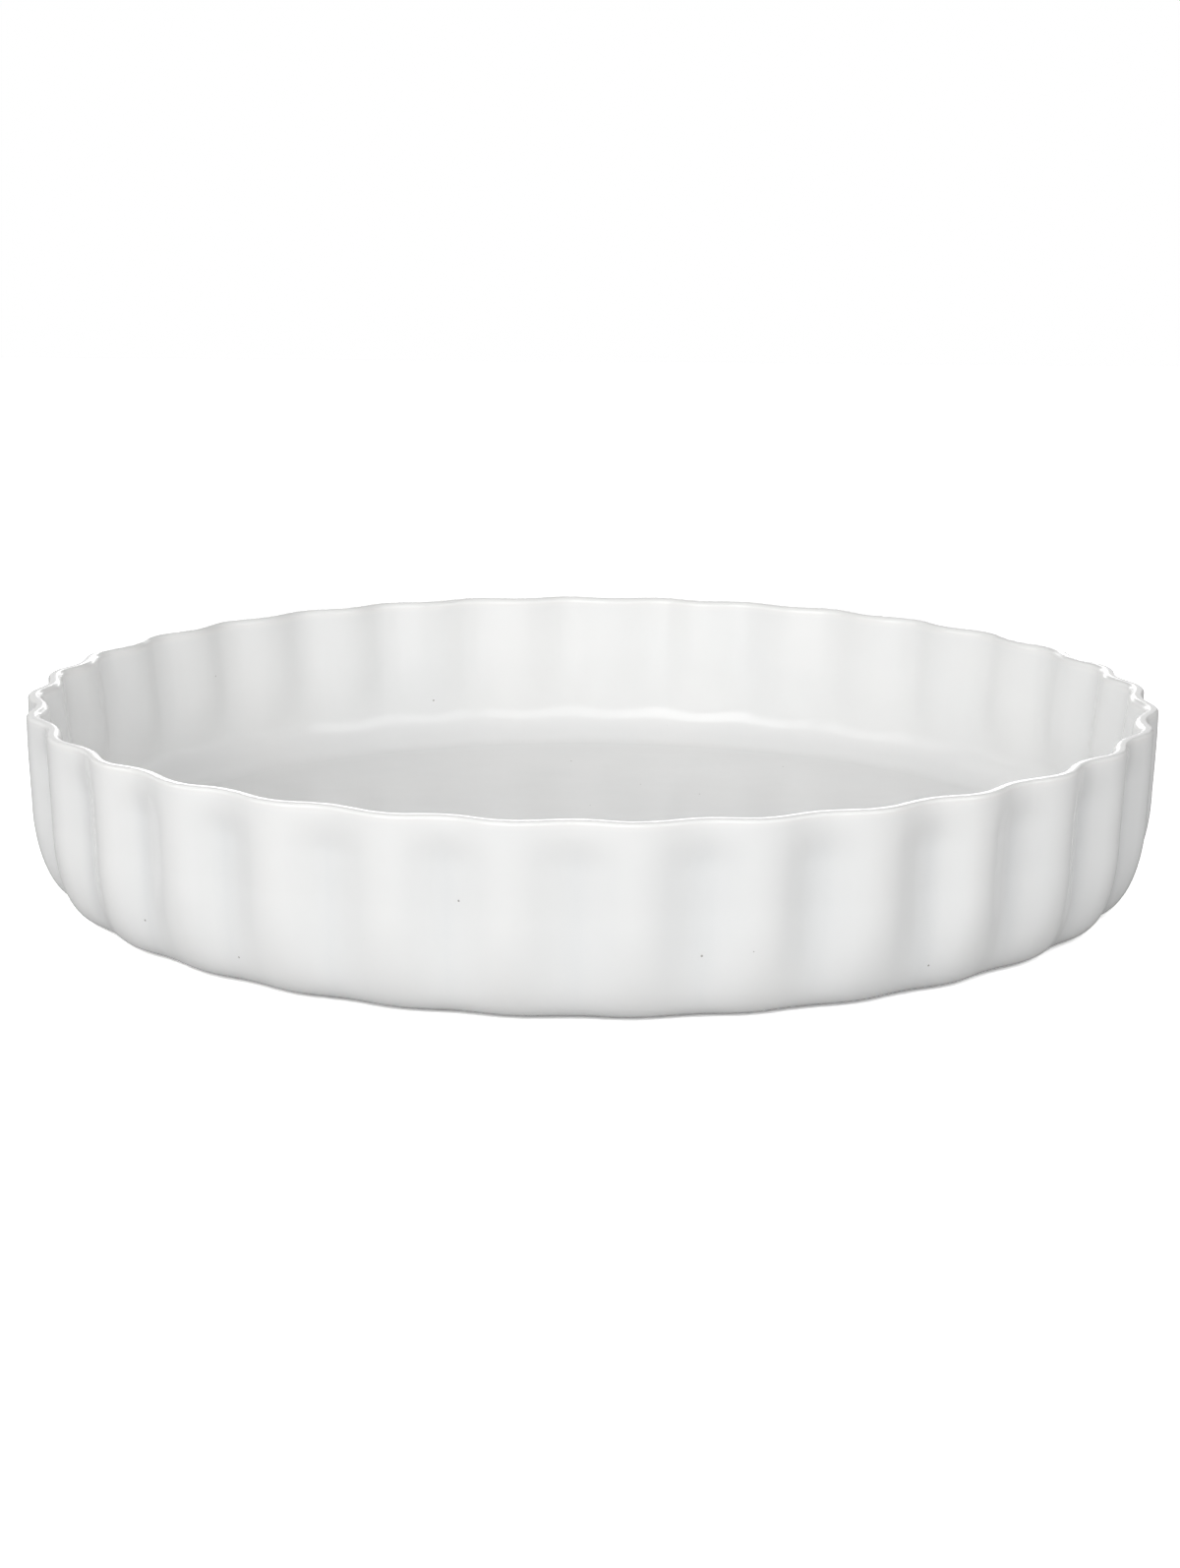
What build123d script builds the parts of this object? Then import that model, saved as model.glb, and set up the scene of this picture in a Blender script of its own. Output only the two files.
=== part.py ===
"""Fluted quiche dish, a round baking dish of glazed porcelain made in one piece.

Sizes are in millimetres. The origin is the middle of the foot's resting face, +Z points up
through the open mouth, and the crest of one flute lies over +X.
"""

from build123d import *
from math import cos, radians, sin
import os

# Overall size, over the flute crests
rim_diameter = 280
dish_height = 46

# Flutes, in step on both faces of the wall, and cut deeper outside from just under the lip
flute_count = 32
lip_flute_depth = 2.4
groove_depth = 3.2
groove_top_drop = 4
lobe_share = 0.62
base_flute_share = 0.35

# Outer form, a nearly upright wall over a long elliptic corner
outer_wall_lean = 0.6
outer_corner_reach = 10.4
outer_corner_height = 24.5
outer_corner_band_count = 5

# Inner form, which keeps the wall even at the lip and meets the floor in a round corner. Its
# flutes fade out from partway down the wall, because glaze and body fill the lobes there.
wall_thickness = 3.5
full_flute_lean = 1.6
flute_fade_height = 9
faded_flute_share = 0.5
inner_wall_lean = 3.6
inner_corner_radius = 10.6
inner_corner_band_count = 3
floor_thickness = 4.7

# Lip, rounded on both edges
lip_round = 1.55
lip_band_count = 2

# Foot ring, ground flat and left bare of glaze, round a shallow recess
foot_inset = 4
foot_width = 4
foot_height = 0.8
foot_side_angle = 20
recess_depth = 1.6


def fluted_section(level, crest_radius, depth, inset):
    """Draw one level section of the fluted form, a closed wave of tangent arcs.

    Each flute has one broad lobe and one narrow groove. The inset moves the whole wave inwards
    at right angles to itself, so the wall between two waves is equally thick all round.
    """
    half_pitch = 180 / flute_count
    crest = Vector(crest_radius, 0)
    groove = Vector(crest_radius - depth, 0).rotate(Axis.Z, half_pitch)
    along_crest = Vector(0, 1)
    along_groove = along_crest.rotate(Axis.Z, half_pitch)

    # The two arcs of a half flute share a tangent where they meet, so the tangent length of
    # the groove follows from that of the lobe.
    chord = groove - crest
    lobe_tangent = lobe_share * chord.length / 2
    turn = 1 - along_crest.dot(along_groove)
    groove_tangent = (chord.length**2 / 2 - lobe_tangent * chord.dot(along_crest)) / (
        chord.dot(along_groove) + lobe_tangent * turn
    )
    lobe_corner = crest + along_crest * lobe_tangent
    groove_corner = groove - along_groove * groove_tangent
    slope = (groove_corner - lobe_corner).normalized()
    meeting = lobe_corner + slope * lobe_tangent

    crest -= Vector(inset, 0)
    groove -= groove.normalized() * inset
    meeting += slope.rotate(Axis.Z, 90) * inset
    meeting_before = Vector(meeting.X, -meeting.Y)

    with BuildSketch(Plane.XY.offset(level)) as section:
        with BuildLine():
            for flute in range(flute_count):
                turned = 2 * half_pitch * flute
                lobe_start = meeting_before.rotate(Axis.Z, turned)
                lobe_end = meeting.rotate(Axis.Z, turned)
                next_lobe = meeting_before.rotate(Axis.Z, turned + 2 * half_pitch)
                ThreePointArc(lobe_start, crest.rotate(Axis.Z, turned), lobe_end)
                ThreePointArc(lobe_end, groove.rotate(Axis.Z, turned), next_lobe)
        make_face()
    return section.sketch


def quarter_turn(bands):
    """Give the sine and the versine at each band edge of a quarter turn, from its start."""
    turns = [radians(90 * band / bands) for band in range(bands + 1)]
    return [(sin(turned), 1 - cos(turned)) for turned in turns]


rim_radius = rim_diameter / 2
lip_level = dish_height - lip_round
floor_level = foot_height + floor_thickness

# Outer form, up the corner, the wall and the outer edge of the lip
corner_foot_radius = rim_radius - outer_wall_lean - outer_corner_reach
foot_radius = corner_foot_radius - foot_inset
outer_sections = []
for out, up in quarter_turn(outer_corner_band_count):
    crest_radius = corner_foot_radius + outer_corner_reach * out
    depth = groove_depth * (base_flute_share + (1 - base_flute_share) * out)
    level = foot_height + outer_corner_height * up
    outer_sections.append(fluted_section(level, crest_radius, depth, 0))
outer_sections.append(fluted_section(dish_height - groove_top_drop, rim_radius, groove_depth, 0))
for up, inwards in quarter_turn(lip_band_count):
    level = lip_level + lip_round * up
    outer_sections.append(fluted_section(level, rim_radius, lip_flute_depth, lip_round * inwards))

# Inner form, up the corner, the wall and the inner edge of the lip
floor_edge_radius = rim_radius - inner_wall_lean - inner_corner_radius
inner_sections = []
for out, up in quarter_turn(inner_corner_band_count):
    crest_radius = floor_edge_radius + inner_corner_radius * out
    level = floor_level + inner_corner_radius * up
    depth = lip_flute_depth * faded_flute_share * up**2
    inner_sections.append(fluted_section(level, crest_radius, depth, wall_thickness))
level = floor_level + inner_corner_radius + flute_fade_height
crest_radius = rim_radius - full_flute_lean
inner_sections.append(fluted_section(level, crest_radius, lip_flute_depth, wall_thickness))
for up, outwards in quarter_turn(lip_band_count):
    level = lip_level + lip_round * up
    inset = wall_thickness - lip_round * outwards
    inner_sections.append(fluted_section(level, rim_radius, lip_flute_depth, inset))

with BuildPart() as dish:
    loft(sections=outer_sections, ruled=True)
    loft(sections=inner_sections, ruled=True, mode=Mode.SUBTRACT)

    # The foot ring has sloping sides, and its inner side runs on up into the recess
    with BuildSketch(Plane.XY.offset(foot_height)):
        Circle(foot_radius)
    extrude(amount=-foot_height, taper=foot_side_angle)
    with BuildSketch():
        Circle(foot_radius - foot_width)
    extrude(amount=recess_depth, taper=foot_side_angle, mode=Mode.SUBTRACT)

dish.part.label = "porcelain_dish"
os.makedirs("parts", exist_ok=True)
export_step(dish.part, "parts/porcelain_dish.step")
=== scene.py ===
"""Dress the fluted quiche dish in glazed porcelain and stand it on a plain pale floor.

Lengths are in metres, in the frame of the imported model: the origin is the middle of the foot's
resting face, +Z points up through the open mouth, and the camera looks from the -Y side.
"""

import logging
import math
import random
from dataclasses import dataclass, field
from enum import Enum

import bpy
from mathutils import Matrix, Vector


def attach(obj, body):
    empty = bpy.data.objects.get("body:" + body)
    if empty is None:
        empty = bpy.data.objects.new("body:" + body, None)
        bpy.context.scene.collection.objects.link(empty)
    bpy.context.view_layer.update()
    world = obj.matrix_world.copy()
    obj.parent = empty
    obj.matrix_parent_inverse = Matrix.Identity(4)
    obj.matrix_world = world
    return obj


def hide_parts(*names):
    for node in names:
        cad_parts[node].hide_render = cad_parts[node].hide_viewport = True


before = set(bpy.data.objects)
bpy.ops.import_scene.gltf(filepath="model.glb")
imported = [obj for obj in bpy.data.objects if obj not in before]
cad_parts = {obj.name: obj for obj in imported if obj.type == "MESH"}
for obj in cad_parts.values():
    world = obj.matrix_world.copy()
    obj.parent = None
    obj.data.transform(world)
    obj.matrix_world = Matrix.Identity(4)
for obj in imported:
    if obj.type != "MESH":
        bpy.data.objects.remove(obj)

DISH_NODE = "porcelain_dish"
BODY = "root"
MM = 0.001
WHITE = "#FFFFFF"
# The place of the colour among the outputs of a Mix node
MIX_COLOUR = 2

# Sizes that several regions of the dish share, in millimetres
RIM_RADIUS = 140.0
DISH_HEIGHT = 46.0
WALL = 3.5
LIP_FLUTE_DEPTH = 2.4
INNER_LIP_ROUND = 1.55
FOOT_HEIGHT = 0.8
# How thick the glaze is on plain faces, on a scale from 0 to 1
PLAIN_GLAZE = 0.3
# An arc that turns by less than this, in radians, is drawn as a straight line
STRAIGHT = 1e-6

log = logging.getLogger("dish")
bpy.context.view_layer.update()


def linear_colour(code: str) -> tuple[float, float, float, float]:
    """Turn an sRGB hex colour to the linear colour that a shader socket takes.

    Args:
        code: the colour as "#RRGGBB".

    Returns:
        The linear red, green and blue, and an alpha of 1.
    """
    parts = [int(code[place : place + 2], 16) / 255 for place in (1, 3, 5)]
    linear = [p / 12.92 if p <= 0.04045 else ((p + 0.055) / 1.055) ** 2.4 for p in parts]
    return (linear[0], linear[1], linear[2], 1.0)


def add_node(
    tree: bpy.types.NodeTree,
    kind: str,
    settings: dict[str, object] | None = None,
    values: dict[str | int, object] | None = None,
    links: dict[str | int, bpy.types.NodeSocket] | None = None,
) -> bpy.types.Node:
    """Add a node with its settings, its socket values and its links.

    Args:
        tree: the node tree that gets the node.
        kind: Blender's name of the node type.
        settings: the node's own settings by name.
        values: constants by input socket.
        links: output sockets of other nodes by input socket.

    Returns:
        The new node.
    """
    node = tree.nodes.new(kind)
    for name, value in (settings or {}).items():
        setattr(node, name, value)
    for socket, value in (values or {}).items():
        node.inputs[socket].default_value = value
    for socket, source in (links or {}).items():
        tree.links.new(source, node.inputs[socket])
    return node


def empty_material(name: str) -> tuple[bpy.types.Material, bpy.types.NodeTree]:
    """Make a material with an empty node tree.

    Args:
        name: the material's name.

    Returns:
        The material and its node tree.
    """
    material = bpy.data.materials.new(name)
    material.use_nodes = True
    material.node_tree.nodes.clear()
    return material, material.node_tree


def smooth_step(start: float, end: float, at: float) -> float:
    """Ease from 0 to 1 between two places.

    Args:
        start: the place where the result leaves 0.
        end: the place where the result reaches 1.
        at: the place asked for.

    Returns:
        A number from 0 to 1.
    """
    share = min(max((at - start) / (end - start), 0.0), 1.0)
    return share * share * (3 - 2 * share)


class Zone(Enum):
    """The two surfaces that the fired body shows, by place in its list of materials."""

    GLAZED = 0
    BARE = 1


@dataclass(frozen=True)
class GlazedPorcelain:
    """Hard porcelain under a clear glossy glaze, cast, dipped and fired.

    The glaze gives a clean white with soft reflections. It is thicker in the outer grooves and
    at the foot, where it looks a little greyer, and thinner on the lip. Its skin has a faint
    orange peel.
    """

    name: str = "glazed porcelain, dipped and fired"
    white: str = "#F0F0EF"
    pooled: str = "#EAEBEB"
    thin: str = "#F2F1EF"
    speck: str = "#A8A6A2"
    glaze_ior: float = 1.52
    roughness_low: float = 0.14
    roughness_high: float = 0.20
    # Where each tint stands on the scale from thin glaze to pooled glaze
    thin_place: float = 0.15
    white_place: float = 0.45
    pooled_place: float = 5 / 6
    # Slow clouds of thickness, and how much they count
    cloud_mm: float = 45.0
    cloud_detail: float = 3.0
    cloud_share: float = 0.5
    # The orange peel, and the longer waves under it
    skin_detail: float = 1.0
    peel_mm: float = 2.6
    peel_depth_mm: float = 0.02
    peel_strength: float = 0.35
    wave_mm: float = 16.0
    wave_depth_mm: float = 0.12
    wave_strength: float = 0.6
    # Iron specks are 0.2 mm grains, drawn about 0.5 mm wide so that they show
    speck_cell_mm: float = 12.0
    speck_radius_mm: float = 0.26

    def make(self) -> bpy.types.Material:
        """Build the glaze's node tree.

        Returns:
            The material.
        """
        material, tree = empty_material(self.name)
        place = add_node(tree, "ShaderNodeTexCoord").outputs["Object"]
        pool = add_node(
            tree, "ShaderNodeAttribute", {"attribute_name": "glaze_thickness"}
        ).outputs["Fac"]

        # Thick glaze is greyer and thin glaze is whiter, with slow clouds over both
        clouds = add_node(
            tree,
            "ShaderNodeTexNoise",
            values={"Scale": 1000 / self.cloud_mm, "Detail": self.cloud_detail},
            links={"Vector": place},
        ).outputs["Fac"]
        thickness = add_node(
            tree,
            "ShaderNodeMath",
            {"operation": "MULTIPLY_ADD"},
            {1: self.cloud_share},
            {0: clouds, 2: pool},
        ).outputs[0]
        tint = add_node(tree, "ShaderNodeValToRGB", links={"Fac": thickness})
        ramp = tint.color_ramp
        ramp.elements[0].position = self.thin_place
        ramp.elements[0].color = linear_colour(self.thin)
        ramp.elements[1].position = self.pooled_place
        ramp.elements[1].color = linear_colour(self.pooled)
        ramp.elements.new(self.white_place).color = linear_colour(self.white)

        # An iron speck shows where the middle of a cell happens to lie in the surface
        cells = add_node(
            tree,
            "ShaderNodeTexVoronoi",
            {"feature": "F1", "voronoi_dimensions": "3D"},
            {"Scale": 1000 / self.speck_cell_mm, "Randomness": 1.0},
            {"Vector": place},
        )
        near = add_node(
            tree,
            "ShaderNodeMath",
            {"operation": "LESS_THAN"},
            {1: self.speck_radius_mm / self.speck_cell_mm},
            {0: cells.outputs["Distance"]},
        ).outputs[0]
        colour = add_node(
            tree,
            "ShaderNodeMix",
            {"data_type": "RGBA"},
            {"B": linear_colour(self.speck)},
            {"Factor": near, "A": tint.outputs["Color"]},
        )
        return self._finish(material, tree, place, clouds, colour.outputs[MIX_COLOUR])

    def _finish(
        self,
        material: bpy.types.Material,
        tree: bpy.types.NodeTree,
        place: bpy.types.NodeSocket,
        clouds: bpy.types.NodeSocket,
        colour: bpy.types.NodeSocket,
    ) -> bpy.types.Material:
        """Add the glaze's gloss and its orange peel.

        Args:
            material: the material that is being built.
            tree: its node tree.
            place: the place on the dish.
            clouds: the slow clouds of glaze thickness.
            colour: the colour of the glaze.

        Returns:
            The material.
        """
        gloss = add_node(
            tree,
            "ShaderNodeMapRange",
            values={"To Min": self.roughness_low, "To Max": self.roughness_high},
            links={"Value": clouds},
        ).outputs[0]
        peel = add_node(
            tree,
            "ShaderNodeTexNoise",
            values={"Scale": 1000 / self.peel_mm, "Detail": self.skin_detail},
            links={"Vector": place},
        ).outputs["Fac"]
        wave = add_node(
            tree,
            "ShaderNodeTexNoise",
            values={"Scale": 1000 / self.wave_mm, "Detail": self.skin_detail},
            links={"Vector": place},
        ).outputs["Fac"]
        fine = add_node(
            tree,
            "ShaderNodeBump",
            values={"Strength": self.peel_strength, "Distance": self.peel_depth_mm * MM},
            links={"Height": peel},
        ).outputs["Normal"]
        both = add_node(
            tree,
            "ShaderNodeBump",
            values={"Strength": self.wave_strength, "Distance": self.wave_depth_mm * MM},
            links={"Height": wave, "Normal": fine},
        ).outputs["Normal"]
        shader = add_node(
            tree,
            "ShaderNodeBsdfPrincipled",
            values={"IOR": self.glaze_ior, "Metallic": 0.0},
            links={"Base Color": colour, "Roughness": gloss, "Normal": both},
        )
        add_node(
            tree, "ShaderNodeOutputMaterial", links={"Surface": shader.outputs["BSDF"]}
        )
        return material


@dataclass(frozen=True)
class BarePorcelain:
    """Unglazed porcelain, ground flat on the foot so that the dish sits without rocking.

    The bare body is matt, a little warmer and darker than the glaze, and has a fine grit.
    """

    name: str = "bare porcelain, ground flat"
    body: str = "#E3DFD8"
    rubbed: str = "#CFCBC4"
    ior: float = 1.5
    roughness: float = 0.78
    # The ground grain is 0.1 mm, drawn at 0.5 mm so that it shows
    grain_mm: float = 0.5
    grain_detail: float = 2.0
    grit_depth_mm: float = 0.05
    grit_strength: float = 0.7
    # Rubbed patches, and the range of the two noises' product over which they come in
    stain_mm: float = 9.0
    stain_detail: float = 4.0
    stain_roughness: float = 0.6
    rubbed_from: float = 0.12
    rubbed_to: float = 0.45

    def make(self) -> bpy.types.Material:
        """Build the bare body's node tree.

        Returns:
            The material.
        """
        material, tree = empty_material(self.name)
        place = add_node(tree, "ShaderNodeTexCoord").outputs["Object"]
        grain = add_node(
            tree,
            "ShaderNodeTexNoise",
            values={"Scale": 1000 / self.grain_mm, "Detail": self.grain_detail},
            links={"Vector": place},
        ).outputs["Fac"]
        stain = add_node(
            tree,
            "ShaderNodeTexNoise",
            values={
                "Scale": 1000 / self.stain_mm,
                "Detail": self.stain_detail,
                "Roughness": self.stain_roughness,
            },
            links={"Vector": place},
        ).outputs["Fac"]
        rub = add_node(
            tree, "ShaderNodeMath", {"operation": "MULTIPLY"}, links={0: grain, 1: stain}
        ).outputs[0]
        share = add_node(
            tree,
            "ShaderNodeMapRange",
            values={"From Min": self.rubbed_from, "From Max": self.rubbed_to},
            links={"Value": rub},
        ).outputs[0]
        colour = add_node(
            tree,
            "ShaderNodeMix",
            {"data_type": "RGBA"},
            {"A": linear_colour(self.body), "B": linear_colour(self.rubbed)},
            {"Factor": share},
        ).outputs[MIX_COLOUR]
        grit = add_node(
            tree,
            "ShaderNodeBump",
            values={"Strength": self.grit_strength, "Distance": self.grit_depth_mm * MM},
            links={"Height": grain},
        ).outputs["Normal"]
        shader = add_node(
            tree,
            "ShaderNodeBsdfPrincipled",
            values={"IOR": self.ior, "Metallic": 0.0, "Roughness": self.roughness},
            links={"Base Color": colour, "Normal": grit},
        )
        add_node(
            tree, "ShaderNodeOutputMaterial", links={"Surface": shader.outputs["BSDF"]}
        )
        return material


@dataclass(frozen=True)
class Section:
    """One level section of the dish, a closed wave round the axis, in millimetres.

    The zone is the surface from this section to the next. The thickness is the glaze's, from 0
    to 1, and the pool is what it gains in the grooves.
    """

    level: float
    crest_radius: float
    depth: float = 0.0
    inset: float = 0.0
    zone: Zone = Zone.GLAZED
    thickness: float = PLAIN_GLAZE
    groove_pool: float = 0.0


@dataclass(frozen=True)
class Flutes:
    """The wave of lobes and grooves that runs round both faces of the wall.

    The shares say how much of the way from crest to groove each arc's tangents take, and what
    they leave is a straight flank. The angles are in degrees, and the depths are shares of the
    usual depth. The grooves at the two sides are a little deeper than those in front and behind.
    """

    count: int = 32
    first_crest: float = -90.0
    lobe_share: float = 0.42
    groove_share: float = 0.32
    lobe_steps: int = 9
    flank_steps: int = 2
    groove_steps: int = 7
    angle_spread: float = 0.4
    slow_spread: float = 0.6
    slow_start: float = 30.0
    depth_spread: float = 0.07
    side_depth: float = 0.08
    seed: int = 618

    def places(self) -> list[tuple[float, float, float]]:
        """Give each flute its small differences, as the mould, fingers and glaze leave them.

        Returns:
            For each flute, the angle of its crest, the angle of the groove after it, and
            the groove's depth against the usual one.
        """
        draw = random.Random(self.seed)
        pitch = 360 / self.count
        made = []
        for flute in range(self.count):
            slow = math.cos(math.radians(pitch * flute - self.slow_start)) * self.slow_spread
            turned = self.first_crest + pitch * flute + slow
            crest = turned + draw.uniform(-1, 1) * self.angle_spread
            groove = turned + pitch / 2 + draw.uniform(-1, 1) * self.angle_spread
            deep = 1 + draw.uniform(-1, 1) * self.depth_spread
            deep += self.side_depth * math.sin(math.radians(pitch * flute)) ** 2
            made.append((math.radians(crest), math.radians(groove), deep))
        return made

    def half_flute(
        self, crest_radius: float, groove_radius: float, half_pitch: float, inset: float
    ) -> list[tuple[float, float]]:
        """Draw the lobe, the flank and the hollow from a crest on the X axis to its groove.

        Each joins the next without a kink, and the inset moves them at right angles.

        Args:
            crest_radius: how far the crest is from the axis.
            groove_radius: how far the groove is from the axis.
            half_pitch: the angle between them.
            inset: how far the wave is moved inwards.

        Returns:
            The points from the crest up to, and with, the groove.
        """
        crest = Vector((crest_radius, 0.0))
        groove_out = Vector((math.cos(half_pitch), math.sin(half_pitch)))
        groove = groove_out * groove_radius
        along_crest = Vector((0.0, 1.0))
        along_groove = Vector((-math.sin(half_pitch), math.cos(half_pitch)))
        half_chord = (groove - crest).length / 2
        lobe_tangent = self.lobe_share * half_chord
        groove_tangent = self.groove_share * half_chord
        lobe_corner = crest + along_crest * lobe_tangent
        groove_corner = groove - along_groove * groove_tangent
        slope = (groove_corner - lobe_corner).normalized()
        lobe_end = lobe_corner + slope * lobe_tangent
        hollow_start = groove_corner - slope * groove_tangent
        lobe = self._arc(crest, along_crest, lobe_end, slope, self.lobe_steps, inset)
        flank = self._arc(lobe_end, slope, hollow_start, slope, self.flank_steps, inset)
        hollow = self._arc(
            hollow_start, slope, groove, along_groove, self.groove_steps, inset
        )
        return lobe + flank[1:] + hollow[1:]

    @staticmethod
    def _arc(
        start: Vector, leaving: Vector, end: Vector, arriving: Vector, steps: int, inset: float
    ) -> list[tuple[float, float]]:
        """Draw an arc by its ends and its directions there, moved to its left.

        Args:
            start: where the arc starts.
            leaving: its direction there.
            end: where the arc ends.
            arriving: its direction there.
            steps: how many steps the arc has.
            inset: how far the arc is moved to its left.

        Returns:
            The points, both ends with them.
        """
        first = math.atan2(leaving.y, leaving.x)
        turn = math.atan2(arriving.y, arriving.x) - first
        chord = end - start
        points = []
        for step in range(steps + 1):
            share = step / steps
            angle = first + turn * share
            if abs(turn) < STRAIGHT:
                point = start + chord * share
            else:
                radius = chord.length / (2 * math.sin(turn / 2))
                centre = start + Vector((-leaving.y, leaving.x)) * radius
                point = centre + Vector((math.sin(angle), -math.cos(angle))) * radius
            points.append(
                (point.x - math.sin(angle) * inset, point.y + math.cos(angle) * inset)
            )
        return points

    def ring(self, section: Section) -> list[tuple[float, float]]:
        """Draw the closed wave of one section, in millimetres.

        Args:
            section: the section to draw.

        Returns:
            The points, anticlockwise from above.
        """
        places = self.places()
        points = []
        for flute, (crest, groove, deep) in enumerate(places):
            next_crest = places[(flute + 1) % self.count][0]
            if flute == self.count - 1:
                next_crest += 2 * math.pi
            groove_radius = section.crest_radius - section.depth * deep
            after = self.half_flute(
                section.crest_radius, groove_radius, groove - crest, section.inset
            )
            back = self.half_flute(
                section.crest_radius, groove_radius, next_crest - groove, section.inset
            )
            points += self._turned(after[:-1], crest, 1)
            points += self._turned(back[:0:-1], next_crest, -1)
        return points

    def glaze(self, section: Section) -> list[float]:
        """Give the glaze's thickness at each point of a section's wave.

        Args:
            section: the section that is drawn.

        Returns:
            The thickness from 0 to 1, which grows from each crest to the grooves beside it.
        """
        half = self.lobe_steps + self.flank_steps + self.groove_steps
        into_groove = [1 - abs(step - half) / half for step in range(2 * half)]
        flute = [section.thickness + section.groove_pool * share**2 for share in into_groove]
        return flute * self.count

    @staticmethod
    def _turned(
        points: list[tuple[float, float]], angle: float, side: int
    ) -> list[tuple[float, float]]:
        """Turn points round the axis, mirrored first where the side is -1.

        Args:
            points: the points to turn.
            angle: the angle to turn them by.
            side: 1 for points after a crest, -1 for points before it.

        Returns:
            The turned points.
        """
        cosine, sine = math.cos(angle), math.sin(angle)
        return [(x * cosine - side * y * sine, x * sine + side * y * cosine) for x, y in points]


@dataclass(frozen=True)
class Foot:
    """The ring that the dish stands on, round a shallow recess, ground flat underneath.

    Its sides slope by 20 degrees, and the glaze ends in a small bead a little above the ground
    face, whose edges are rounded.
    """

    outer_radius: float = 124.71
    inner_radius: float = 121.0
    height: float = FOOT_HEIGHT
    recess: float = 1.6
    side_slope: float = 0.364
    edge: float = 0.25
    bead: float = 0.1
    # Rings round the recess's corner: drop and inset in millimetres, and how thick the glaze is
    recess_corner: tuple[tuple[float, float, float], ...] = (
        (0.0, 3.0, 0.4),
        (0.0, 1.6, 0.5),
        (0.06, 0.6, 0.6),
        (0.3, 0.05, 0.6),
    )
    # Where the outer side runs out into the underside, and glaze gathers
    outer_corner_glaze: float = 0.7
    outer_corner_drop: float = 0.12
    outer_corner_reach: float = 0.5

    def sections(self) -> list[Section]:
        """List the foot's sections, from the recess round the ring to the underside.

        Returns:
            The sections, from the inside out.
        """
        inner_top = self.inner_radius - self.recess * self.side_slope
        inner_low = self.inner_radius - self.edge * self.side_slope
        outer_low = self.outer_radius + self.edge * self.side_slope
        outer_top = self.outer_radius + self.height * self.side_slope
        half_up = self.recess * 0.5
        bare, thick = Zone.BARE, self.outer_corner_glaze
        made = [
            Section(self.recess - drop, inner_top - inset, thickness=thickness)
            for drop, inset, thickness in self.recess_corner
        ]

        # The bead's fullest ring, the ring where it ends, and the ground edge under it
        bead_level = self.edge * 2.0
        bead_out = self.edge * self.side_slope + self.bead
        glaze_end = self.edge * 1.5
        glaze_end_out = self.bead * 0.8
        edge_in = self.bead * 0.3
        turn_level = self.edge * 0.3
        turn_in = self.edge * 0.5
        flat_in = self.edge * 1.4

        # Down the inner side, over the ground face and up the outer side
        return made + [
            Section(half_up, inner_top + half_up * self.side_slope),
            Section(bead_level, inner_low - bead_out),
            Section(glaze_end, inner_low - glaze_end_out, zone=bare),
            Section(self.edge, inner_low + edge_in, zone=bare),
            Section(turn_level, inner_low + turn_in, zone=bare),
            Section(0.0, inner_low + flat_in, zone=bare),
            Section(0.0, (self.inner_radius + self.outer_radius) / 2, zone=bare),
            Section(0.0, outer_low - flat_in, zone=bare),
            Section(turn_level, outer_low - turn_in, zone=bare),
            Section(self.edge, outer_low - edge_in, zone=bare),
            Section(glaze_end, outer_low + glaze_end_out),
            Section(bead_level, outer_low + bead_out),
            Section(self.height - self.outer_corner_drop, outer_top, thickness=thick),
            Section(self.height, outer_top + self.outer_corner_reach, thickness=thick),
        ]


@dataclass(frozen=True)
class OuterWall:
    """The outer face, a nearly upright wall over a long elliptic corner.

    The grooves are shallower at the lip, run straight down the wall and grow shallow again low in
    the corner. The glaze pools in them a little.
    """

    rim_radius: float = RIM_RADIUS
    lean: float = 0.6
    reach: float = 10.4
    corner_height: float = 24.5
    foot_height: float = FOOT_HEIGHT
    groove_depth: float = 3.6
    base_share: float = 0.35
    fade_power: int = 4
    lip_depth: float = LIP_FLUTE_DEPTH
    groove_top: float = 43.9
    groove_full: float = 35.0
    groove_pool: float = 0.3
    corner_steps: int = 26
    wall_steps: int = 22

    def sections(self) -> list[Section]:
        """List the sections from the underside up to the lip.

        Returns:
            The sections, from the bottom up.
        """
        made = []
        base = self.rim_radius - self.lean - self.reach
        for step in range(self.corner_steps + 1):
            turned = math.radians(90 * step / self.corner_steps)
            out = math.sin(turned)
            fade = out**self.fade_power
            depth = self.groove_depth * (self.base_share + (1 - self.base_share) * fade)
            level = self.foot_height + self.corner_height * (1 - math.cos(turned))
            pool = self.groove_pool * out
            made.append(Section(level, base + self.reach * out, depth, groove_pool=pool))
        low = self.foot_height + self.corner_height
        for step in range(1, self.wall_steps + 1):
            share = step / self.wall_steps
            level = low + (self.groove_top - low) * share
            into_lip = smooth_step(self.groove_full, self.groove_top, level)
            depth = self.groove_depth + (self.lip_depth - self.groove_depth) * into_lip
            leaning = self.lean * (1 - math.sin(math.radians(90 * share)))
            pool = self.groove_pool * (1 - into_lip)
            made.append(Section(level, self.rim_radius - leaning, depth, groove_pool=pool))
        return made


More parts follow.
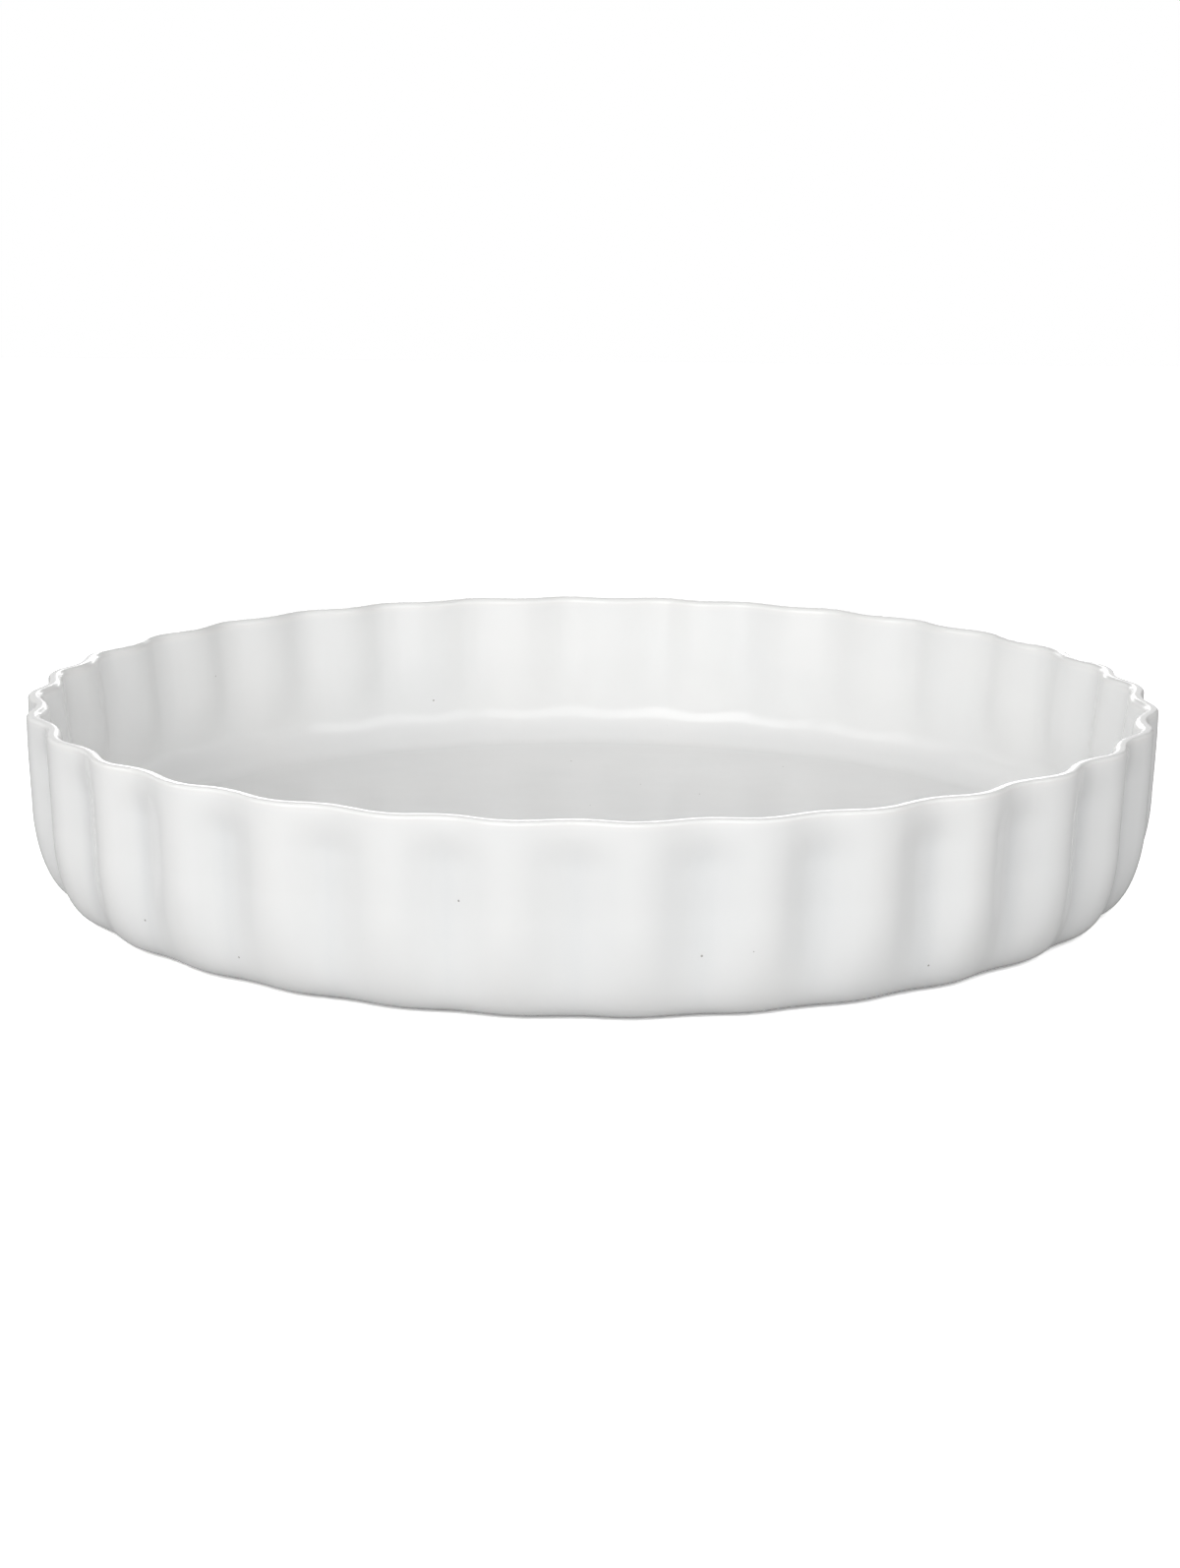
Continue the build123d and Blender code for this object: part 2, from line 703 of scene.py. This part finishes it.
@dataclass(frozen=True)
class Lip:
    """The lip, as thick as the wall and rounded on both edges, where the glaze runs thin."""

    rim_radius: float = RIM_RADIUS
    height: float = DISH_HEIGHT
    depth: float = LIP_FLUTE_DEPTH
    wall: float = WALL
    outer_round: float = 0.9
    inner_round: float = INNER_LIP_ROUND
    glaze: float = 0.12
    steps: int = 9

    def sections(self) -> list[Section]:
        """List the sections over the lip, from its outer edge to its inner edge.

        Returns:
            The sections, from the outside in.
        """
        rising = [math.radians(90 * step / self.steps) for step in range(self.steps + 1)]
        over = [(math.sin(angle), 1 - math.cos(angle)) for angle in rising]
        places = [
            (self.height - self.outer_round * (1 - up), self.outer_round * inset)
            for up, inset in over
        ]
        places += [
            (self.height - self.inner_round * (1 - up), self.wall - self.inner_round * inset)
            for up, inset in reversed(over)
        ]
        return [
            Section(level, self.rim_radius, self.depth, inset, thickness=self.glaze)
            for level, inset in places
        ]


@dataclass(frozen=True)
class InnerBowl:
    """The inner face, which meets the flat floor in a round corner.

    Its flutes are as deep as the lip's at the top and fade out in the corner, where glaze and
    body fill the lobes.
    """

    rim_radius: float = RIM_RADIUS
    lean: float = 3.1
    wall: float = WALL
    corner_reach: float = 11.1
    corner_height: float = 10.6
    floor_level: float = 5.5
    lip_level: float = DISH_HEIGHT - INNER_LIP_ROUND
    depth: float = LIP_FLUTE_DEPTH
    flutes_full: float = 29.0
    flutes_gone: float = 8.0
    corner_steps: int = 16
    wall_steps: int = 24

    def sections(self) -> list[Section]:
        """List the sections from the lip down to the edge of the floor.

        Returns:
            The sections, from the top down.
        """
        places = []
        low = self.floor_level + self.corner_height
        for step in range(1, self.wall_steps):
            share = step / self.wall_steps
            level = self.lip_level + (low - self.lip_level) * share
            places.append((level, self.rim_radius - self.lean * share))
        edge = self.rim_radius - self.lean - self.corner_reach
        for step in range(self.corner_steps + 1):
            turned = math.radians(90 * (1 - step / self.corner_steps))
            level = self.floor_level + self.corner_height * (1 - math.cos(turned))
            places.append((level, edge + self.corner_reach * math.sin(turned)))
        made = []
        for level, crest in places:
            depth = self.depth * smooth_step(self.flutes_gone, self.flutes_full, level)
            made.append(Section(level, crest, depth, self.wall))
        return made


@dataclass
class Skin:
    """A closed skin drawn through rings, from the middle of the base to that of the floor."""

    vertices: list[tuple[float, float, float]] = field(default_factory=list)
    faces: list[tuple[int, ...]] = field(default_factory=list)
    zones: list[int] = field(default_factory=list)
    thickness: list[float] = field(default_factory=list)

    def add_ring(
        self, points: list[tuple[float, float]], level: float, thickness: list[float]
    ) -> list[int]:
        """Add the vertices of one ring.

        Args:
            points: the ring's points in millimetres.
            level: its level in millimetres.
            thickness: how thick the glaze is at each point, from 0 to 1.

        Returns:
            The numbers of the new vertices.
        """
        first = len(self.vertices)
        self.vertices += [(x * MM, y * MM, level * MM) for x, y in points]
        self.thickness += thickness
        return list(range(first, len(self.vertices)))

    def join(self, before: list[int], after: list[int], zone: Zone) -> None:
        """Join two rings, of equal counts or with twice as many points in one of them.

        Args:
            before: the vertices of the ring that comes first.
            after: the vertices of the ring that comes next.
            zone: the surface between them.
        """
        made: list[tuple[int, ...]] = []
        near, far = len(before), len(after)
        for step in range(min(near, far)):
            if near == far:
                after_this = (step + 1) % near
                made.append((before[step], before[after_this], after[after_this], after[step]))
                continue
            wide, slim = (before, after) if near > far else (after, before)
            start, middle, end = (wide[(2 * step + place) % len(wide)] for place in range(3))
            low, high = slim[step], slim[(step + 1) % len(slim)]
            trio = [(start, middle, low), (middle, high, low), (middle, end, high)]
            made += trio if near > far else [face[::-1] for face in trio]
        self.faces += made
        self.zones += [zone.value] * len(made)

    def cap(self, ring: list[int], level: float, rising: bool) -> None:
        """Close the skin with a fan of faces round a middle point.

        Args:
            ring: the vertices of the innermost ring.
            level: the level of the middle point in millimetres.
            rising: whether the cap faces up.
        """
        middle = len(self.vertices)
        self.vertices.append((0.0, 0.0, level * MM))
        self.thickness.append(PLAIN_GLAZE)
        for step, start in enumerate(ring):
            end = ring[(step + 1) % len(ring)]
            self.faces.append((start, end, middle) if rising else (end, start, middle))
            self.zones.append(Zone.GLAZED.value)


@dataclass
class FlutedDish:
    """The whole dish, one fired body: foot, outer wall, lip and inner bowl in one skin."""

    flutes: Flutes = field(default_factory=Flutes)
    foot: Foot = field(default_factory=Foot)
    outer_wall: OuterWall = field(default_factory=OuterWall)
    lip: Lip = field(default_factory=Lip)
    inner_bowl: InnerBowl = field(default_factory=InnerBowl)
    glaze: GlazedPorcelain = field(default_factory=GlazedPorcelain)
    bare: BarePorcelain = field(default_factory=BarePorcelain)
    # Fewer columns nearer the middle of the floor and of the recess
    disc_radii: tuple[float, ...] = (116.0, 104.0, 90.0, 76.0, 60.0, 44.0, 30.0, 20.0, 12.0, 6.0)
    disc_halvings: tuple[int, ...] = (0, 0, 0, 1, 1, 2, 3, 4, 5, 6)
    waver_mm: float = 0.10
    # Waves of unevenness: share, count round the dish, phase, and twist with each millimetre up
    waver_waves: tuple[tuple[float, int, float, float], ...] = (
        (1.0, 2, 0.8, 0.0),
        (0.6, 5, 2.1, 0.03),
        (0.5, 9, 0.4, -0.05),
    )

    def waver(self, angle: float, level: float) -> float:
        """Give the slight unevenness that casting and firing leave.

        Args:
            angle: the angle round the axis.
            level: the level in millimetres.

        Returns:
            How far the surface draws in there, in millimetres and never outwards.
        """
        height = sum(
            share * math.sin(count * angle + phase + level * twist)
            for share, count, phase, twist in self.waver_waves
        )
        most = sum(wave[0] for wave in self.waver_waves)
        return self.waver_mm * (0.5 - height / (2 * most))

    def disc(self, skin: Skin, level: float) -> list[list[int]]:
        """Add the rings of a flat disc, which thin out towards the middle.

        Args:
            skin: the skin that gets the rings.
            level: the level of the disc in millimetres.

        Returns:
            The rings' vertices, from the outermost in.
        """
        rings = []
        for radius, halving in zip(self.disc_radii, self.disc_halvings):
            section = Section(level, radius)
            points = self.flutes.ring(section)[:: 2**halving]
            rings.append(skin.add_ring(points, level, [section.thickness] * len(points)))
        return rings

    def drawn_in(self, section: Section) -> list[tuple[float, float]]:
        """Draw a section's wave with the waver, which stops above the foot.

        Args:
            section: the section to draw.

        Returns:
            The points in millimetres, anticlockwise from above.
        """
        points = self.flutes.ring(section)
        if section.level <= self.foot.height:
            return points
        wavering = []
        for x, y in points:
            scale = 1.0 - self.waver(math.atan2(y, x), section.level) / math.hypot(x, y)
            wavering.append((x * scale, y * scale))
        return wavering

    def skin(self) -> Skin:
        """Draw the skin: the recess, the foot, the outer wall, the lip, the bowl and its floor.

        Returns:
            The closed skin.
        """
        skin = Skin()
        under = self.disc(skin, self.foot.recess)[::-1]
        skin.cap(under[0], self.foot.recess, False)
        for before, after in zip(under, under[1:]):
            skin.join(before, after, Zone.GLAZED)

        sections = self.foot.sections() + self.outer_wall.sections()
        sections += self.lip.sections() + self.inner_bowl.sections()
        last, zone = under[-1], Zone.GLAZED
        for section in sections:
            points = self.drawn_in(section)
            ring = skin.add_ring(points, section.level, self.flutes.glaze(section))
            skin.join(last, ring, zone)
            last, zone = ring, section.zone

        for ring in self.disc(skin, self.inner_bowl.floor_level):
            skin.join(last, ring, Zone.GLAZED)
            last = ring
        skin.cap(last, self.inner_bowl.floor_level, True)
        return skin

    def build(self) -> bpy.types.Object:
        """Build the dish's mesh.

        Returns:
            The Blender object.
        """
        skin = self.skin()
        mesh = bpy.data.meshes.new("porcelain_dish_glazed")
        mesh.from_pydata(skin.vertices, [], skin.faces)
        mesh.polygons.foreach_set("material_index", skin.zones)
        mesh.polygons.foreach_set("use_smooth", [True] * len(skin.faces))
        glaze = mesh.attributes.new("glaze_thickness", "FLOAT", "POINT")
        glaze.data.foreach_set("value", skin.thickness)
        mesh.validate()
        mesh.update()
        piece = bpy.data.objects.new("fluted_porcelain_dish", mesh)
        bpy.context.scene.collection.objects.link(piece)
        return piece

    def dress(self, piece: bpy.types.Object) -> None:
        """Give the dish its glaze and its bare foot, and set it on its body.

        Args:
            piece: the dish's object.
        """
        piece.data.materials.append(self.glaze.make())
        piece.data.materials.append(self.bare.make())
        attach(piece, BODY)
        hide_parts(DISH_NODE)


@dataclass(frozen=True)
class SoftBox:
    """One soft lamp of the studio, aimed at the dish, in degrees, metres and watts."""

    name: str
    azimuth: float
    elevation: float
    distance: float
    width: float
    height: float
    power: float
    aim_height: float = 0.02

    def place(self) -> bpy.types.Object:
        """Put the lamp in the scene.

        Returns:
            The lamp's object.
        """
        lamp = bpy.data.lights.new(self.name, "AREA")
        lamp.shape = "RECTANGLE"
        lamp.size = self.width
        lamp.size_y = self.height
        lamp.energy = self.power
        piece = bpy.data.objects.new(self.name, lamp)
        bpy.context.scene.collection.objects.link(piece)
        turned, raised = math.radians(self.azimuth), math.radians(self.elevation)
        out = Vector(
            (
                math.cos(raised) * math.cos(turned),
                math.cos(raised) * math.sin(turned),
                math.sin(raised),
            )
        )
        piece.location = out * self.distance + Vector((0.0, 0.0, self.aim_height))
        piece.rotation_euler = out.to_track_quat("Z", "Y").to_euler()
        return piece


@dataclass
class Studio:
    """A plain pale floor, a white backdrop, soft lamps, a grey surrounding and the camera.

    Its lengths are in metres and its angles in degrees, unless a name says otherwise.
    """

    floor_size: float = 40.0
    # A hair under the foot, so that their faces don't lie in one plane
    floor_drop_mm: float = 0.05
    floor_colour: str = "#C2C2C2"
    # The paper looks white to the camera, a fifth brighter in gloss, and lights the dish as it is
    camera_gain: float = 5.5
    gloss_gain: float = 1.2
    ambient: float = 0.28
    backdrop_distance: float = 1.3
    backdrop_width: float = 1.2
    backdrop_height: float = 0.6
    soft_boxes: tuple[SoftBox, ...] = (
        SoftBox("front softbox", -104.0, 26.0, 1.8, 2.4, 1.4, 19.0),
        SoftBox("front left softbox", -124.0, 24.0, 1.8, 1.3, 1.2, 5.5),
        SoftBox("left softbox", -168.0, 22.0, 1.8, 1.0, 1.1, 4.6),
        SoftBox("right softbox", -40.0, 22.0, 1.8, 1.2, 1.1, 7.0),
        SoftBox("back left softbox", 130.0, 27.0, 1.8, 1.2, 1.2, 2.4),
        SoftBox("low back softbox", 86.3, 14.5, 1.15, 0.6, 0.14, 0.8),
    )

    # The camera, from a fit of the rim, sides and base to the photograph
    frame_width: int = 1200
    frame_height: int = 1594
    focal_pixels: float = 3235.0
    camera_distance: float = 0.7966
    camera_elevation: float = 11.447
    camera_azimuth: float = -3.71
    camera_yaw: float = -0.025
    camera_pitch: float = -1.692
    camera_roll: float = 0.402
    rim_height: float = DISH_HEIGHT * MM

    def floor(self) -> bpy.types.Object:
        """Lay the floor, which looks white and keeps the dish's shadow.

        Returns:
            The floor's object.
        """
        half = self.floor_size / 2
        low = -self.floor_drop_mm * MM
        corners = [(-half, -half, low), (half, -half, low), (half, half, low), (-half, half, low)]
        mesh = bpy.data.meshes.new("studio floor")
        mesh.from_pydata(corners, [], [(0, 1, 2, 3)])
        piece = bpy.data.objects.new("studio_floor", mesh)
        bpy.context.scene.collection.objects.link(piece)
        material, tree = empty_material("matt white paper, rolled")
        path = add_node(tree, "ShaderNodeLightPath").outputs
        mirrored = add_node(
            tree,
            "ShaderNodeMath",
            {"operation": "MAXIMUM"},
            links={0: path["Is Glossy Ray"], 1: path["Is Transmission Ray"]},
        ).outputs[0]
        in_gloss = add_node(
            tree,
            "ShaderNodeMath",
            {"operation": "MULTIPLY_ADD"},
            {1: self.gloss_gain - 1, 2: 1.0},
            {0: mirrored},
        ).outputs[0]
        gain = add_node(
            tree,
            "ShaderNodeMath",
            {"operation": "MULTIPLY_ADD"},
            {1: self.camera_gain - 1},
            {0: path["Is Camera Ray"], 2: in_gloss},
        ).outputs[0]
        colour = add_node(
            tree,
            "ShaderNodeVectorMath",
            {"operation": "SCALE"},
            {0: linear_colour(self.floor_colour)[:3]},
            {"Scale": gain},
        ).outputs[0]
        lit = add_node(tree, "ShaderNodeBsdfDiffuse", links={"Color": colour}).outputs[0]
        add_node(tree, "ShaderNodeOutputMaterial", links={"Surface": lit})
        mesh.materials.append(material)
        return piece

    @staticmethod
    def seen(tree: bpy.types.NodeTree) -> bpy.types.NodeSocket:
        """Tell rays that show the surroundings from rays that only light the dish.

        Args:
            tree: the node tree that asks.

        Returns:
            A socket that is 1 for camera, glossy and transmission rays, and 0 otherwise.
        """
        path = add_node(tree, "ShaderNodeLightPath").outputs
        shown = add_node(
            tree,
            "ShaderNodeMath",
            {"operation": "MAXIMUM"},
            links={0: path["Is Camera Ray"], 1: path["Is Glossy Ray"]},
        ).outputs[0]
        return add_node(
            tree,
            "ShaderNodeMath",
            {"operation": "MAXIMUM"},
            links={0: shown, 1: path["Is Transmission Ray"]},
        ).outputs[0]

    def behind(self) -> Vector:
        """Give the level direction from the camera to the dish and on behind it."""
        turned = math.radians(self.camera_azimuth)
        return Vector((-math.sin(turned), math.cos(turned), 0.0))

    def backdrop(self) -> bpy.types.Object:
        """Stand up the backdrop, white to the eye and in gloss, and otherwise as the world.

        Returns:
            The backdrop's object.
        """
        foot = self.behind() * self.backdrop_distance
        side = self.behind().cross(Vector((0.0, 0.0, 1.0))) * (self.backdrop_width / 2)
        rise = Vector((0.0, 0.0, self.backdrop_height))
        corners = [foot - side, foot + side, foot + side + rise, foot - side + rise]
        mesh = bpy.data.meshes.new("studio backdrop")
        mesh.from_pydata([tuple(corner) for corner in corners], [], [(0, 1, 2, 3)])
        piece = bpy.data.objects.new("studio_backdrop", mesh)
        bpy.context.scene.collection.objects.link(piece)
        material, tree = empty_material("white backdrop, lit from behind")
        strength = add_node(
            tree,
            "ShaderNodeMapRange",
            values={"To Min": self.ambient, "To Max": 1.0},
            links={"Value": self.seen(tree)},
        ).outputs[0]
        lit = add_node(
            tree,
            "ShaderNodeEmission",
            values={"Color": linear_colour(WHITE)},
            links={"Strength": strength},
        ).outputs[0]
        add_node(tree, "ShaderNodeOutputMaterial", links={"Surface": lit})
        mesh.materials.append(material)
        return piece

    def world(self) -> None:
        """Surround the dish with a plain grey ambient light."""
        world = bpy.data.worlds.new("grey surrounding")
        world.use_nodes = True
        tree = world.node_tree
        tree.nodes.clear()
        light = add_node(
            tree,
            "ShaderNodeBackground",
            values={"Color": linear_colour(WHITE), "Strength": self.ambient},
        ).outputs[0]
        add_node(tree, "ShaderNodeOutputWorld", links={"Surface": light})
        bpy.context.scene.world = world

    def camera(self) -> bpy.types.Object:
        """Set up the camera at the photograph's place.

        Returns:
            The camera's object.
        """
        lens = bpy.data.cameras.new("camera")
        longest = max(self.frame_width, self.frame_height)
        lens.lens = self.focal_pixels / longest * lens.sensor_width
        piece = bpy.data.objects.new("camera", lens)
        bpy.context.scene.collection.objects.link(piece)
        bpy.context.scene.camera = piece

        raised, turned = math.radians(self.camera_elevation), math.radians(self.camera_azimuth)
        rim = Vector((0.0, 0.0, self.rim_height))
        out = Vector((math.sin(turned), -math.cos(turned), 0.0)) * math.cos(raised)
        out.z = math.sin(raised)
        heading = -turned + math.radians(self.camera_yaw)
        tilt = -raised + math.radians(self.camera_pitch)
        ahead = Vector((math.sin(heading), math.cos(heading), 0.0)) * math.cos(tilt)
        ahead.z = math.sin(tilt)
        side = ahead.cross(Vector((0.0, 0.0, 1.0))).normalized()
        up = side.cross(ahead)
        roll = math.radians(self.camera_roll)
        across = side * math.cos(roll) + up * math.sin(roll)
        upright = up * math.cos(roll) - side * math.sin(roll)
        axes = Matrix((across, upright, -ahead)).transposed().to_4x4()
        piece.matrix_world = Matrix.Translation(rim + out * self.camera_distance) @ axes
        return piece

    def build(self) -> None:
        """Build the floor, the backdrop, the lamps, the surroundings and the camera."""
        self.floor()
        self.backdrop()
        for soft_box in self.soft_boxes:
            soft_box.place()
        self.world()
        self.camera()
        bpy.context.scene.view_settings.view_transform = "Standard"


def main() -> None:
    """Build the dish and its studio, and log the dish's count of faces."""
    dish = FlutedDish()
    piece = dish.build()
    dish.dress(piece)
    log.info("%s: %d faces", piece.name, len(piece.data.polygons))
    Studio().build()
    bpy.context.view_layer.update()


if __name__ == "__main__":
    logging.basicConfig(level=logging.INFO, format="%(name)s: %(message)s")
    main()
